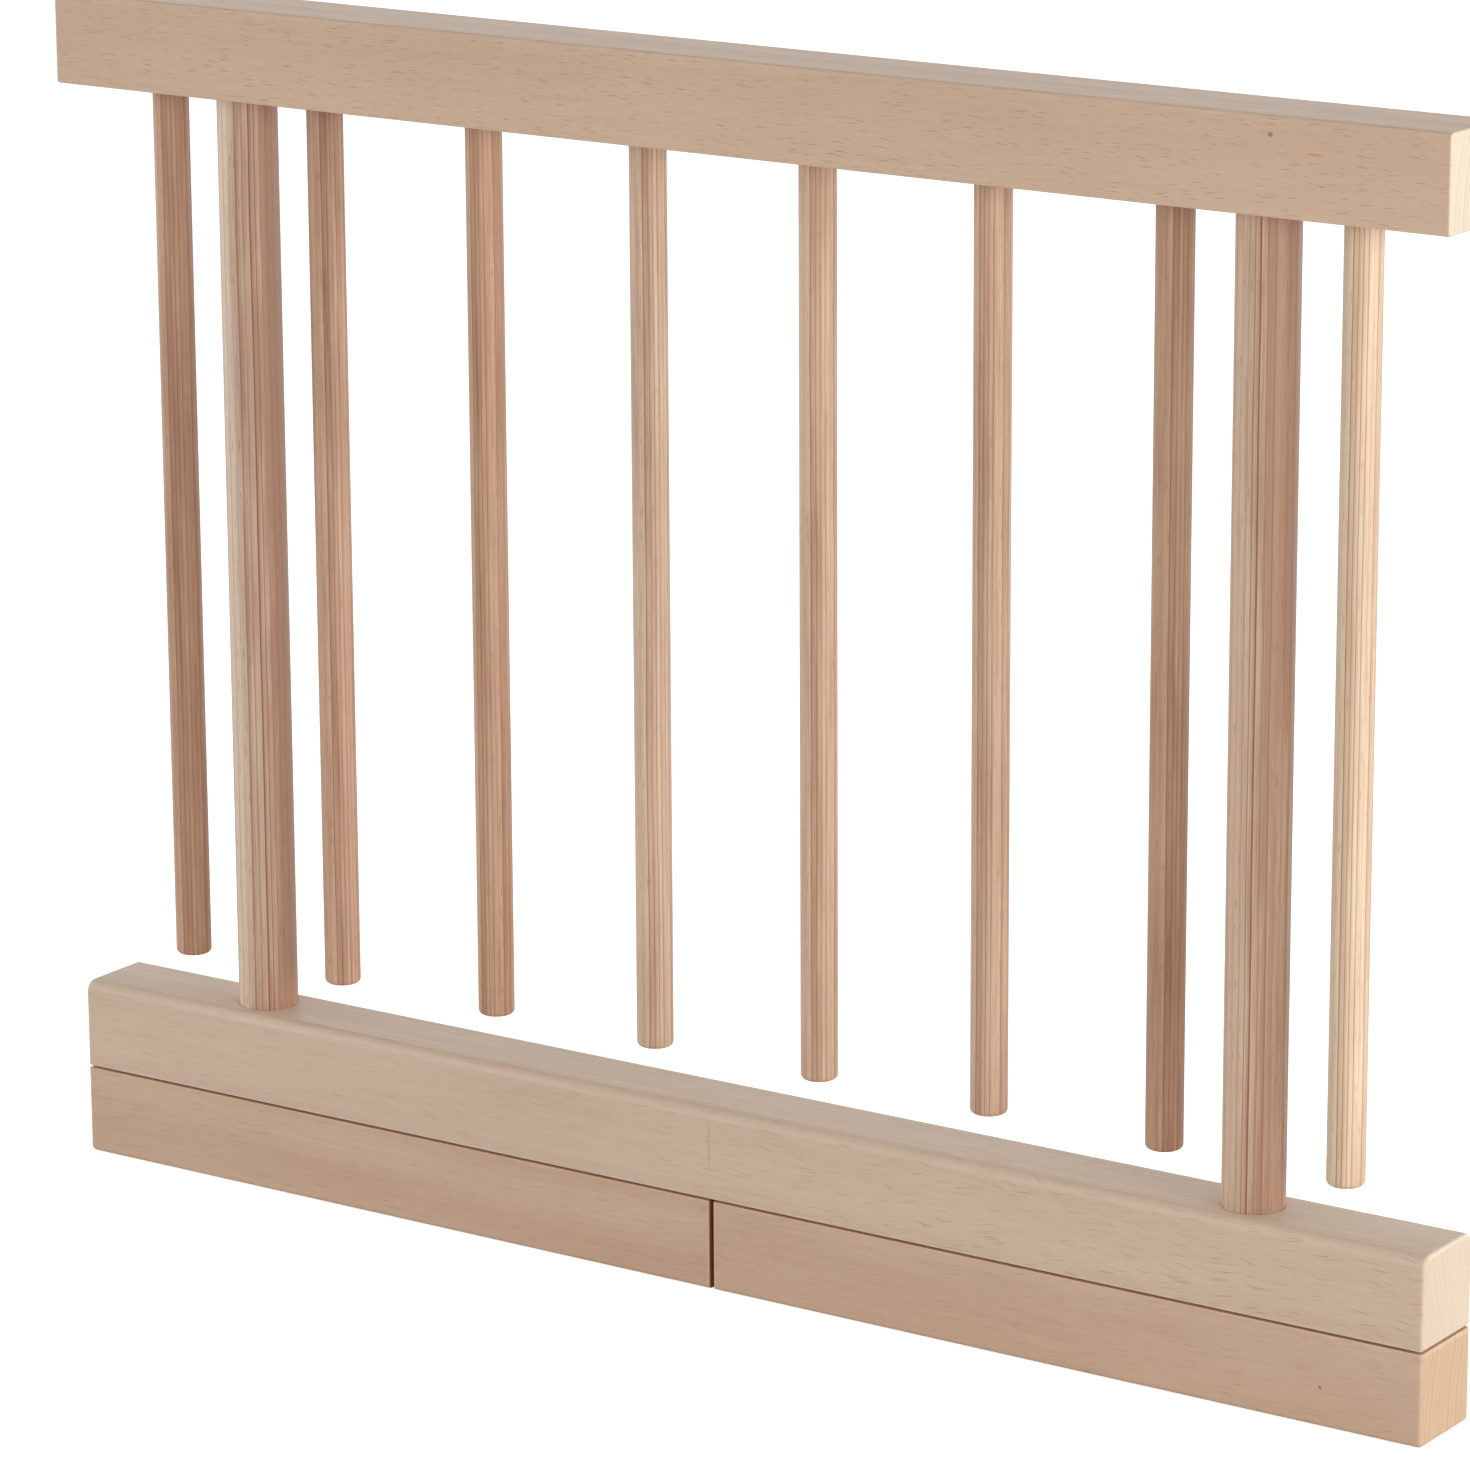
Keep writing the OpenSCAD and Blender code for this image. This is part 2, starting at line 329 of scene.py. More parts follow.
def make_beech_grain():
    """Solid beech. Place is in millimetres, with X up the tree and its heart on the X axis."""
    tree, given, result = new_group(
        "beech_grain",
        [
            ("Place", VECTOR, (0, 0, 0)),
            ("Facing", VECTOR, (0, 0, 1)),
            ("Pale", COLOUR, (0.7, 0.5, 0.36, 1)),
            ("Deep", COLOUR, (0.5, 0.33, 0.22, 1)),
            ("Line", COLOUR, (0.3, 0.17, 0.1, 1)),
            ("End", COLOUR, (0.75, 0.6, 0.45, 1)),
            ("Ring Width", FLOAT, 2.5),
            ("Ring Depth", FLOAT, 0.3),
            ("Ring Fade", FLOAT, 0.85),
            ("Tone Depth", FLOAT, 0.5),
            ("Heart Distance", FLOAT, 100.0),
            ("Tone Slope", FLOAT, 0.0),
            ("Tone", FLOAT, 0.35),
            ("Streak Depth", FLOAT, 0.5),
            ("Fleck Depth", FLOAT, 0.6),
            ("Fleck Length", FLOAT, 7.0),
            ("Fleck Share", FLOAT, 0.5),
            ("Drift", FLOAT, 6.0),
            ("Wave", FLOAT, 2.0),
        ],
        [("Colour", COLOUR), ("Roughness", FLOAT), ("Height", FLOAT)],
    )
    place = given["Place"]
    off_heart = (0, 1, 1)  # leaves out the part along the tree

    # The grain wanders slowly along the tree, and ripples over it.
    wander = []
    for stretch, size in (((0.006, 0.02, 0.02), "Drift"), ((0.055, 0.07, 0.07), "Wave")):
        shift = noise(tree, place, stretch).outputs["Color"]
        shift = vector(tree, "SUBTRACT", shift, (0.5, 0.5, 0.5))
        wander.append(vector(tree, "MULTIPLY", vector(tree, "SCALE", shift, given[size]), off_heart))
    leaning = vector(tree, "ADD", place, wander[0])
    rippled = vector(tree, "ADD", leaning, wander[1])
    radius = vector(tree, "LENGTH", vector(tree, "MULTIPLY", leaning, off_heart))
    length, side, up = axes(tree, rippled)
    turn = calc(tree, "ARCTAN2", up, side)
    outward = vector(tree, "NORMALIZE", vector(tree, "MULTIPLY", place, off_heart))
    cut_end = ease(tree, calc(tree, "ABSOLUTE", axes(tree, given["Facing"])[0]), 0.5, 0.9)
    cut_flat = calc(tree, "ABSOLUTE", vector(tree, "DOT_PRODUCT", given["Facing"], outward))
    cut_flat = ease(tree, cut_flat, 0.1, 0.8)

    # A thin dark line closes each year's ring, and no two rings have the same width or tone.
    phase = calc(tree, "DIVIDE", radius, given["Ring Width"])
    phase = calc(tree, "MULTIPLY_ADD", noise_by(tree, radius, 0.09), 1.5, phase)
    within = calc(tree, "FRACT", phase)
    chance = tree.nodes.new("ShaderNodeTexWhiteNoise")
    chance.noise_dimensions = "1D"
    put(tree, chance.inputs["W"], calc(tree, "FLOOR", phase))
    year = chance.outputs["Value"]
    ring_line = calc(tree, "MULTIPLY", ease(tree, within, 0.62, 0.88), ease(tree, within, 1.0, 0.94))
    ring_line = calc(tree, "MULTIPLY", ring_line, calc(tree, "MULTIPLY_ADD", year, 0.85, 0.15))
    fade = calc(tree, "MULTIPLY", cut_flat, given["Ring Fade"])
    ring_line = calc(tree, "MULTIPLY", ring_line, calc(tree, "SUBTRACT", 1.0, fade))
    cloud = noise(tree, place, (0.006, 0.03, 0.03)).outputs["Fac"]
    tone = calc(tree, "ADD", noise_by(tree, radius, 0.12, 2.0), cloud)
    tone = calc(tree, "MULTIPLY_ADD", year, 0.35, calc(tree, "SUBTRACT", tone, 1.2))
    late_wood = calc(tree, "MULTIPLY", within, calc(tree, "SUBTRACT", 1.0, cut_flat))
    tone = calc(tree, "MULTIPLY_ADD", late_wood, 0.3, tone)

    # Fibres: long thin streaks, at two widths.
    broad = noise(tree, rippled, (0.02, 0.5, 0.5), 3.0).outputs["Fac"]
    fine = noise(tree, rippled, (0.05, 2.4, 2.4)).outputs["Fac"]
    streak = calc(tree, "MULTIPLY_ADD", fine, 0.6, calc(tree, "SUBTRACT", broad, 0.8))

    # Rays: thin sheets that run outward from the heart.
    across = calc(tree, "MULTIPLY", turn, 90.0)
    spacing = given["Fleck Length"]
    large = ray_dashes(tree, length, across, radius, (spacing, 0.6, 8.0), given["Fleck Share"])
    short = calc(tree, "MULTIPLY", spacing, 0.6)
    small = ray_dashes(tree, length, across, radius, (short, 0.42, 5.0), given["Fleck Share"])
    ray = calc(tree, "MAXIMUM", large, calc(tree, "MULTIPLY", small, 0.5))

    # Pin knots: now and then a dark dot.
    pin = tree.nodes.new("ShaderNodeTexVoronoi")
    pin.inputs["Scale"].default_value = 1.0
    put(tree, pin.inputs["Vector"], vector(tree, "MULTIPLY", place, (0.014, 0.03, 0.03)))
    knot = ease(tree, pin.outputs["Distance"], 0.024, 0.008)

    # The colour, from pale to deep, then the end grain, and then the dark lines and rays.
    shade = calc(tree, "MULTIPLY", tone, given["Tone Depth"])
    outer = calc(tree, "SUBTRACT", radius, given["Heart Distance"])
    shade = calc(tree, "MULTIPLY_ADD", outer, given["Tone Slope"], shade)
    shade = calc(tree, "MULTIPLY_ADD", streak, given["Streak Depth"], shade)
    shade = calc(tree, "ADD", shade, given["Tone"])
    wood = mixed(tree, shade, given["Pale"], given["Deep"])
    wood = mixed(tree, calc(tree, "MULTIPLY", cut_end, 0.75), wood, given["End"])
    lines = calc(tree, "MULTIPLY", ring_line, given["Ring Depth"])
    ray_depth = ease(tree, cut_flat, 0.0, 1.0, 0.3, 1.0)
    ray_depth = calc(tree, "MULTIPLY", given["Fleck Depth"], ray_depth)
    ray_depth = calc(tree, "MULTIPLY", ray_depth, calc(tree, "MULTIPLY_ADD", cut_end, -0.6, 1.0))
    lines = calc(tree, "MAXIMUM", lines, calc(tree, "MULTIPLY", ray, ray_depth))
    lines = calc(tree, "MAXIMUM", lines, calc(tree, "MULTIPLY", knot, 0.55))
    put(tree, result["Colour"], mixed(tree, lines, wood, given["Line"]))
    put(tree, result["Roughness"], calc(tree, "MULTIPLY_ADD", streak, 0.25, 0.48))
    hollow = calc(tree, "MULTIPLY_ADD", lines, 0.6, calc(tree, "MULTIPLY", streak, 0.7))
    put(tree, result["Height"], calc(tree, "SUBTRACT", 1.0, hollow))
    return tree


def make_wear_and_highlight():
    """How worn a box-shaped piece's edges are, with a painted highlight on them: 1 on its edges, and
    0 away from them. In millimetres.
    """
    tree, given, result = new_group(
        "wear_and_highlight",
        [
            ("Place", VECTOR, (0, 0, 0)),
            ("Half Size", VECTOR, (10, 10, 10)),
            ("Width", FLOAT, 2.0),
        ],
        [("Worn Highlight", FLOAT)],
    )
    outside = vector(tree, "SUBTRACT", vector(tree, "ABSOLUTE", given["Place"]), given["Half Size"])
    x, y, z = axes(tree, outside)
    long_edge = calc(tree, "MINIMUM", y, z)
    end_edge = calc(tree, "MINIMUM", x, calc(tree, "MAXIMUM", y, z))
    near = calc(tree, "MAXIMUM", long_edge, end_edge)
    rub_and_highlight = noise(tree, given["Place"], (0.08, 0.35, 0.35), 3.0).outputs["Fac"]
    reach = calc(tree, "MULTIPLY", given["Width"], calc(tree, "MULTIPLY_ADD", rub_and_highlight, -1.6, -0.2))
    put(tree, result["Worn Highlight"], ease(tree, near, reach, 0.0))
    return tree


beech_grain = make_beech_grain()
wear_and_highlight = make_wear_and_highlight()
LYING, STANDING = (0, 0, 0), (0, math.radians(90), 0)  # turns the grain's X along X or Z
SHEEN = {LYING: 0.12, STANDING: 0.4}  # a turned dowel's raised fibres catch more light
WEAR_AND_HIGHLIGHT_WIDTH = 1.4
WEAR_AND_HIGHLIGHT_SHARE = 0.5
PORE_DEPTH = 0.12 * MM


def place_group(tree, name, group, **values):
    """Places a node group, and sets the inputs named, with _ for a space."""
    node = tree.nodes.new("ShaderNodeGroup")
    node.name = name
    node.node_tree = group
    for label, value in values.items():
        put(tree, node.inputs[label.replace("_", " ")], value)
    return node


def turned_to_grain(tree, value, grain, kind):
    """A point or a normal, turned so that X runs along the grain."""
    node = tree.nodes.new("ShaderNodeMapping")
    node.vector_type = kind
    node.inputs["Rotation"].default_value = grain
    put(tree, node.inputs["Vector"], value)
    return node.outputs["Vector"]


def raw_beech(name, node, grain, heart, worn_highlight, **figure):
    """Raw beech. heart is where the tree's heart is from the piece's middle, in millimetres."""
    material = bpy.data.materials.new(name)
    material.use_nodes = True
    tree = material.node_tree
    shader = tree.nodes["Principled BSDF"]
    shader.inputs["Sheen Weight"].default_value = SHEEN[grain]
    shader.inputs["Sheen Roughness"].default_value = 0.3
    low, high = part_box(node)
    spot = tree.nodes.new("ShaderNodeTexCoord")
    place = vector(tree, "SUBTRACT", spot.outputs["Object"], (low + high) / 2)
    place = vector(tree, "SCALE", place, 1 / MM)
    from_heart = vector(tree, "SUBTRACT", place, heart)
    across = (heart[1], heart[2]) if grain is LYING else (heart[0], heart[1])
    wood = place_group(
        tree, "grain", beech_grain,
        Place=turned_to_grain(tree, from_heart, grain, "POINT"),
        Facing=turned_to_grain(tree, spot.outputs["Normal"], grain, "NORMAL"),
        Heart_Distance=math.hypot(*across),
        **figure,
    )
    half_size = (high - low) / 2 / MM
    # The edges go paler: partly wear, partly a painted highlight on the rounded edges.
    edge = place_group(tree, "edges", wear_and_highlight, Place=place, Half_Size=half_size, Width=WEAR_AND_HIGHLIGHT_WIDTH)
    rub_and_highlight = calc(tree, "MULTIPLY", edge.outputs["Worn Highlight"], WEAR_AND_HIGHLIGHT_SHARE)
    put(tree, shader.inputs["Base Color"], mixed(tree, rub_and_highlight, wood.outputs["Colour"], worn_highlight))
    rubbed = calc(tree, "MULTIPLY_ADD", edge.outputs["Worn Highlight"], -0.08, wood.outputs["Roughness"])
    put(tree, shader.inputs["Roughness"], rubbed)
    bump = tree.nodes.new("ShaderNodeBump")
    bump.inputs["Strength"].default_value = 0.3
    bump.inputs["Distance"].default_value = PORE_DEPTH
    put(tree, bump.inputs["Height"], wood.outputs["Height"])
    put(tree, shader.inputs["Normal"], bump.outputs["Normal"])
    return material


def srgb(red, green, blue):
    """A colour given in display values from 0 to 255."""
    shares = [c / 255 for c in (red, green, blue)]
    return (*(s / 12.92 if s <= 0.04045 else ((s + 0.055) / 1.055) ** 2.4 for s in shares), 1)


def axis_x(node):
    """Where an upright piece's axis is, along the gate."""
    low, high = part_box(node)
    return (low.x + high.x) / 2


def tint(material, share, colour):
    """Colours the wood, wholly where share is 1 and not at all where it is 0."""
    tree = material.node_tree
    shade = tree.nodes["Principled BSDF"].inputs["Base Color"]
    put(tree, shade, mixed(tree, share, shade.links[0].from_socket, colour))


def mark(material, x, z, wide, tall, colour):
    """A ragged spot in the wood of a piece's front face, with its middle at x and z."""
    tree = material.node_tree
    spot = tree.nodes["Texture Coordinate"]
    away = vector(tree, "SUBTRACT", spot.outputs["Object"], (x, 0, z))
    away = vector(tree, "MULTIPLY", away, (2 / wide, 0, 2 / tall))
    ragged = noise(tree, away, (1.5, 1.5, 1.5)).outputs["Fac"]
    ragged = calc(tree, "MULTIPLY_ADD", ragged, 0.8, -0.4)
    away = calc(tree, "ADD", vector(tree, "LENGTH", away), ragged)
    front = ease(tree, axes(tree, spot.outputs["Normal"])[1], -0.5, -0.8)
    share = ease(tree, away, 1.1, 0.5, 0.0, MARK_SHARE)
    tint(material, calc(tree, "MULTIPLY", share, front), colour)


def paint_seam_shade(material, seam_z):
    """Paints shade brown on the rounded edge along the seam, where the narrow gap lies in shadow,
    and not on the flat face inside it.
    """
    tree = material.node_tree
    spot = tree.nodes["Texture Coordinate"]
    away = calc(tree, "SUBTRACT", axes(tree, spot.outputs["Object"])[2], seam_z)
    near = ease(tree, calc(tree, "ABSOLUTE", away), SEAM_SHADE_END, SEAM_SHADE_FULL)
    level = calc(tree, "ABSOLUTE", axes(tree, spot.outputs["Normal"])[2])
    tint(material, calc(tree, "MULTIPLY", near, ease(tree, level, 0.995, 0.9)), SEAM_SHADE_BROWN)


SIDES = ("left", "right")
SEAM_SHADE_BROWN = srgb(150, 72, 44)
SEAM_SHADE_FULL = 0.1 * MM
SEAM_SHADE_END = 0.4 * MM
MARK_SHARE = 0.8
ROUNDOVER_HIGHLIGHT_SHARE = 0.18
base_low, base_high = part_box("base_bar")
base = bar("base_bar_wood", "base_bar", SEAM_R, BASE_TOP_R, BASE_END_R, BASE_END_R)
holes = []
for side in SIDES:
    post_low, post_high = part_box(f"post_{side}")
    post_r = (post_high.y - post_low.y) / 2
    x = axis_x(f"post_{side}")
    holes.append(drill(post_r + GLUE_GAP, base_high.z, base_high.z - POST_IN_BASE, x))
    holes.append(drill(BOLT_BORE_R, base_low.z, base_high.z - POST_IN_BASE / 2, x))
    pin_low, pin_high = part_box(f"stop_pin_{side}")
    pin_middle = (pin_low + pin_high) / 2
    pin_r = (pin_high.y - pin_low.y) / 2
    pin_floor = base_low.z + PIN_IN_BASE
    holes.append(drill(pin_r + GLUE_GAP, base_low.z, pin_floor, pin_middle.x, pin_middle.y))
cut(base, holes)
base_beech = raw_beech(
    "beech_base", "base_bar", LYING, (120, 95, 30), srgb(232, 212, 190),
    Pale=srgb(221, 200, 177), Deep=srgb(197, 170, 145),
    Line=srgb(150, 108, 82), End=srgb(211, 193, 169),
    Ring_Width=3.4, Ring_Depth=0.15, Tone_Depth=0.4, Tone_Slope=0.01, Streak_Depth=0.5,
    Fleck_Length=17.0, Fleck_Share=0.95,
)
tree = base_beech.node_tree
spot = tree.nodes["Texture Coordinate"]
grain = tree.nodes["grain"]
along = axes(tree, spot.outputs["Object"])[0]
for label, calm, wavy in (("Wave", 2.5, 7.0), ("Fleck Depth", 0.3, 0.55)):
    put(tree, grain.inputs[label], ease(tree, along, -100 * MM, 150 * MM, calm, wavy))
# Painted shade: the rounded edge along the seam under the bar is browned.
paint_seam_shade(base_beech, base_low.z)

# The rounded top edges are painted paler, a painted highlight that lifts their shade, and a faint
# upright line crosses the front's middle.
upward = axes(tree, spot.outputs["Normal"])[2]
roundover_highlight = calc(tree, "MULTIPLY", ease(tree, upward, 0.1, 0.4), ease(tree, upward, 1.0, 0.85))
tint(base_beech, calc(tree, "MULTIPLY", roundover_highlight, ROUNDOVER_HIGHLIGHT_SHARE), srgb(234, 216, 197))
mark(base_beech, -1 * MM, 62 * MM, 1.6 * MM, 26 * MM, srgb(200, 170, 146))
finish_piece(base, base_beech, "gate_frame", "beech_base", "base_bar")

# ---------------------------------------------------------------------------
# Posts
# Two turned beech dowels, glued into the base bar and the rail, that carry
# the whole gate. A threaded insert in each lower end takes a foot's bolt.
# ---------------------------------------------------------------------------
DOWEL_CHAMFER = 1 * MM
LINE_BROWN = srgb(136, 82, 55)
POSTS = {
    "left": ((88, 62, 300), srgb(222, 198, 175), srgb(171, 131, 105), 0.8, -0.07),
    "right": ((-96, -52, 900), srgb(214, 184, 158), srgb(160, 123, 97), 0.62, 0.055),
}
for side, (heart, pale, deep, tone, slope) in POSTS.items():
    node = f"post_{side}"
    low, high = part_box(node)
    bore_low, bore_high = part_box(f"post_insert_{side}")
    radius, bore = (high.x - low.x) / 2, (bore_high.x - bore_low.x) / 2 + GLUE_GAP
    piece = turned(f"{node}_wood", [
        (0, bore_high.z),
        (bore, bore_high.z),
        (bore, low.z),
        (radius - DOWEL_CHAMFER, low.z),
        (radius, low.z + DOWEL_CHAMFER),
        (radius, high.z - DOWEL_CHAMFER),
        (radius - DOWEL_CHAMFER, high.z),
        (0, high.z),
    ], axis_x(node))
    wood = raw_beech(
        f"beech_{node}", node, STANDING, heart, pale,
        Pale=pale, Deep=deep, Line=LINE_BROWN, End=pale, Tone=tone, Tone_Slope=slope,
        Ring_Width=2.5, Ring_Depth=1.0, Ring_Fade=0.2, Tone_Depth=1.0, Streak_Depth=1.0,
        Fleck_Depth=0.55, Fleck_Length=10.0, Fleck_Share=0.9, Drift=1.5, Wave=0.8,
    )
    finish_piece(piece, wood, "gate_frame", "beech_post", node)

# ---------------------------------------------------------------------------
# Top rail
# A square bar of planed beech along the top, with crisper edges than the base
# bar. Ten blind sockets in its underside hold the posts and the spindles.
# ---------------------------------------------------------------------------
EDGE_R = 1.5 * MM
RAIL_END_R = 0.8 * MM
rail_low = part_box("top_rail")[0]
rail = bar("top_rail_wood", "top_rail", EDGE_R, EDGE_R, RAIL_END_R, RAIL_END_R)
spindles = [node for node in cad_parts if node.startswith("spindle_")]
holes = []
for node in [*(f"post_{side}" for side in SIDES), *spindles]:
    low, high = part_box(node)
    holes.append(drill((high.x - low.x) / 2 + GLUE_GAP, rail_low.z, high.z, axis_x(node)))
cut(rail, holes)
rail_beech = raw_beech(
    "beech_rail", "top_rail", LYING, (0, 120, -25), srgb(230, 202, 174),
    Pale=srgb(213, 184, 158), Deep=srgb(189, 155, 129),
    Line=srgb(148, 95, 68), End=srgb(213, 200, 178),
    Ring_Width=3.0, Ring_Depth=0.3, Tone_Depth=0.4, Streak_Depth=0.45,
    Fleck_Depth=0.45, Fleck_Length=10.5, Fleck_Share=1.0, Wave=3.5,
)

# A dark pin knot near the right end, and a reddish streak beside it.
mark(rail_beech, 250.5 * MM, 495.8 * MM, 2.6 * MM, 2.2 * MM, srgb(146, 102, 78))
mark(rail_beech, 269 * MM, 490 * MM, 9 * MM, 1.6 * MM, srgb(206, 142, 116))
finish_piece(rail, rail_beech, "gate_frame", "beech_rail", "top_rail")

# ---------------------------------------------------------------------------
# Spindles
# Turned beech dowels that hang from the rail and stop short of the base bar.
# Each is glued into its socket, and its lower end is rounded over. They come
# from different boards, so each has its own tone.
# ---------------------------------------------------------------------------
TIP_R = 2 * MM
HEART_AWAY = 70  # from the tree's heart to a spindle, in millimetres
NEXT_BOARD = 410  # between one spindle's wood and the next one's, along the tree
TONES = {
    "spindle_1": (srgb(199, 157, 128), srgb(150, 105, 79)),
    "spindle_2": (srgb(206, 166, 137), srgb(147, 104, 78)),
    "spindle_3": (srgb(211, 172, 141), srgb(162, 117, 89)),
    "spindle_4": (srgb(220, 191, 164), srgb(172, 134, 105)),
    "spindle_5": (srgb(216, 183, 155), srgb(166, 126, 98)),
    "spindle_6": (srgb(215, 181, 152), srgb(166, 124, 96)),
    "spindle_7": (srgb(192, 153, 124), srgb(137, 97, 72)),
    "spindle_8": (srgb(230, 206, 178), srgb(195, 158, 124)),
}
tip = [math.radians(90 * step / ARC_STEPS) for step in range(ARC_STEPS + 1)]
for number, (node, (pale, deep)) in enumerate(TONES.items()):
    low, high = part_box(node)
    radius = (high.x - low.x) / 2
    outline = [(0, low.z)]
    for a in tip:
        outline.append((radius - TIP_R * (1 - math.sin(a)), low.z + TIP_R * (1 - math.cos(a))))
    outline += [(radius, high.z - DOWEL_CHAMFER), (radius - DOWEL_CHAMFER, high.z), (0, high.z)]
    piece = turned(f"{node}_wood", outline, axis_x(node))
    angle = 0.6 + 0.35 * math.sin(2.3 * number)
    heart = (HEART_AWAY * math.cos(angle), HEART_AWAY * math.sin(angle), NEXT_BOARD * number)
    wood = raw_beech(
        f"beech_{node}", node, STANDING, heart, pale,
        Pale=pale, Deep=deep, Line=LINE_BROWN, End=pale,
        Ring_Width=2.0, Ring_Depth=0.8, Ring_Fade=0.2, Tone_Depth=1.2, Streak_Depth=1.0,
        Fleck_Depth=0.55, Fleck_Length=10.0, Fleck_Share=0.9, Drift=1.2, Wave=0.7,
    )
    finish_piece(piece, wood, "gate_frame", "beech_spindle", node)

# ---------------------------------------------------------------------------
# Swivel feet
# Two half-length square beech bars under the base bar. Each is drilled for
# its bolt, counterbored from below for the washers and the bolt's head, and
# has a quarter-circle groove in its top for the stop pin.
# ---------------------------------------------------------------------------
FOOT_LOW_R = 2 * MM
FOOT_END_R = 2 * MM
FOOT_INNER_R = 0.5 * MM
BOLT_R = 4 * MM
PIVOT_GAP = 0.08 * MM
WASHER_GAP = 1 * MM
PRESS_GAP = 0.04 * MM  # over the washer, so that the foot can turn
GROOVE_GAP = 0.3 * MM
PIN_IN_FOOT = 6 * MM
INNER_END_SHADE = 0.75
ROUND_STEPS = 8
QUARTER_STEPS = 18


def arc_points(x, y, radius, start, end, steps):
    """Points along an arc about (x, y)."""
    angles = [start + (end - start) * step / steps for step in range(steps + 1)]
    return [(x + radius * math.cos(a), y + radius * math.sin(a)) for a in angles]


def groove_cutter(x, start, orbit, width, low_z, high_z):
    """A quarter ring with round ends: what the mill takes out for a stop pin."""
    end = start + math.pi / 2
    points = []
    for radius, first, last in ((orbit + width / 2, start, end), (orbit - width / 2, end, start)):
        points += arc_points(0, 0, radius, first, last, QUARTER_STEPS)
        turn = last if radius > orbit else last + math.pi
        round_x, round_y = orbit * math.cos(last), orbit * math.sin(last)
        round_end = arc_points(round_x, round_y, width / 2, turn, turn + math.pi, ROUND_STEPS)
        points += round_end[1:-1]
    shape = bmesh.new()
    rings = [[shape.verts.new((x + px, py, z)) for px, py in points] for z in (low_z, high_z)]
    join_rings(shape, rings)
    for ring in rings:
        shape.faces.new(ring)
    return link("groove", shape)


FEET = {
    "left": ((130, 90, -40), -45, (FOOT_END_R, FOOT_INNER_R)),
    "right": ((420, 110, -20), 135, (FOOT_INNER_R, FOOT_END_R)),
}
for side, (heart, groove_start, end_radii) in FEET.items():
    node = f"foot_{side}"
    low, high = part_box(node)
    x = axis_x(f"post_{side}")
    washer_low, washer_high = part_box(f"bolt_washer_{side}")
    pin_low, pin_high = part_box(f"stop_pin_{side}")
    orbit = ((pin_low + pin_high) / 2 - Vector((x, 0, 0))).xy.length
    piece = bar(f"{node}_wood", node, FOOT_LOW_R, SEAM_R, *end_radii)
    cut(piece, [
        drill((washer_high.y - washer_low.y) / 2 + WASHER_GAP, low.z, washer_high.z + PRESS_GAP, x),
        drill(BOLT_R + PIVOT_GAP, high.z, washer_high.z - MM, x),
        groove_cutter(
            x, math.radians(groove_start), orbit, pin_high.y - pin_low.y + 2 * GROOVE_GAP,
            high.z - PIN_IN_FOOT - GROOVE_GAP, high.z + MM,
        ),
    ])
    wood = raw_beech(
        f"beech_{node}", node, LYING, heart, srgb(224, 194, 168),
        Pale=srgb(210, 181, 155), Deep=srgb(186, 150, 124),
        Line=srgb(146, 104, 80), End=srgb(198, 166, 132),
        Ring_Width=3.4, Ring_Depth=0.3, Tone_Depth=0.6, Streak_Depth=0.6,
        Fleck_Depth=0.35, Fleck_Length=16.0, Fleck_Share=0.9, Wave=2.5,
    )
    # Painted shade: the rounded edge along the seam at the foot's top is browned.
    paint_seam_shade(wood, high.z)

    # The inner ends are painted brown, a painted shade that darkens the narrow gap between them. The
    # right foot has a small pin knot.
    tree = wood.node_tree
    from_middle = axes(tree, tree.nodes["Texture Coordinate"].outputs["Object"])[0]
    from_middle = calc(tree, "ABSOLUTE", from_middle)
    tint(wood, ease(tree, from_middle, 1.4 * MM, 1.1 * MM, 0.0, INNER_END_SHADE), SEAM_SHADE_BROWN)
    if side == "right":
        mark(wood, 281 * MM, 16 * MM, 1.6 * MM, 1.8 * MM, srgb(128, 86, 60))
    finish_piece(piece, wood, f"{side}_foot", "beech_foot", node)

# ---------------------------------------------------------------------------
# Pivot bolts
# Socket-head cap screws, zinc plated, with a knurled head. Each comes up
# through a foot into the post's insert, and its foot swings round it.
# ---------------------------------------------------------------------------
KNURLS = 36
KNURL_DEPTH = 0.25 * MM
KNURL_MARGIN = 0.9 * MM
HEAD_CHAMFER = 0.5 * MM
HEAD_H = 8 * MM
KEY_AF = 6 * MM
KEY_DEPTH = 4 * MM
THREAD_L = 28 * MM
THREAD_PITCH = 1.25 * MM
THREAD_DEPTH = 0.6 * MM
ROWS_A_TURN = 4


def make_metal_surface():
    """Plated or turned metal: cloudy tone, fine turning marks and pits. Place is in millimetres."""
    tree, given, result = new_group(
        "metal_surface",
        [
            ("Place", VECTOR, (0, 0, 0)),
            ("Bright", COLOUR, (0.7, 0.7, 0.7, 1)),
            ("Dull", COLOUR, (0.5, 0.5, 0.5, 1)),
            ("Polish", FLOAT, 0.3),
            ("Cloud Size", FLOAT, 4.0),
        ],
        [("Colour", COLOUR), ("Roughness", FLOAT), ("Height", FLOAT)],
    )
    place = given["Place"]
    nearer = vector(tree, "SCALE", place, calc(tree, "DIVIDE", 1.0, given["Cloud Size"]))
    cloud = noise(tree, nearer, (1, 1, 1), 4.0).outputs["Fac"]
    rings = noise(tree, place, (0.3, 0.3, 14)).outputs["Fac"]
    pits = noise(tree, place, (6, 6, 6)).outputs["Fac"]
    share = ease(tree, cloud, 0.35, 0.68)
    put(tree, result["Colour"], mixed(tree, share, given["Bright"], given["Dull"]))
    rough = calc(tree, "MULTIPLY_ADD", share, 0.16, given["Polish"])
    put(tree, result["Roughness"], calc(tree, "MULTIPLY_ADD", rings, 0.08, rough))
    put(tree, result["Height"], calc(tree, "MULTIPLY_ADD", pits, 0.5, rings))
    return tree


metal_surface = make_metal_surface()


